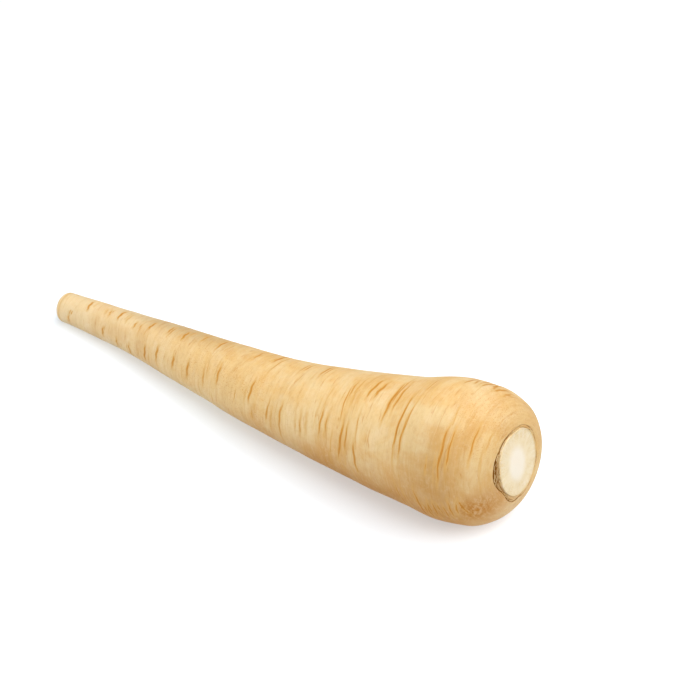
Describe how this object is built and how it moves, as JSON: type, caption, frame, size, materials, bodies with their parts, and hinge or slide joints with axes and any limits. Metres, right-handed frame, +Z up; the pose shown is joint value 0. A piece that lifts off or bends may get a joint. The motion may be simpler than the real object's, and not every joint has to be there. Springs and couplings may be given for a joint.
{
  "type": "parsnip",
  "caption": "Whole parsnip root lying on its side: a long tapered pale root with a blunt trimmed tail and a heavy crown that ends in a round cut face set in a sunken scar.",
  "frame": {"origin": "on the surface it rests on, at the middle of its footprint box", "axes": "+X along the root from the tail to the crown, +Z up"},
  "size_m": [0.237, 0.0594, 0.0571],
  "materials": {
    "skin": "washed root skin, satin, with tan creases",
    "cut_flesh": "dry cut face of the crown, matt cream with a white core"
  },
  "bodies": {
    "root": {"parsnip": "skin"}
  },
  "joints": []
}
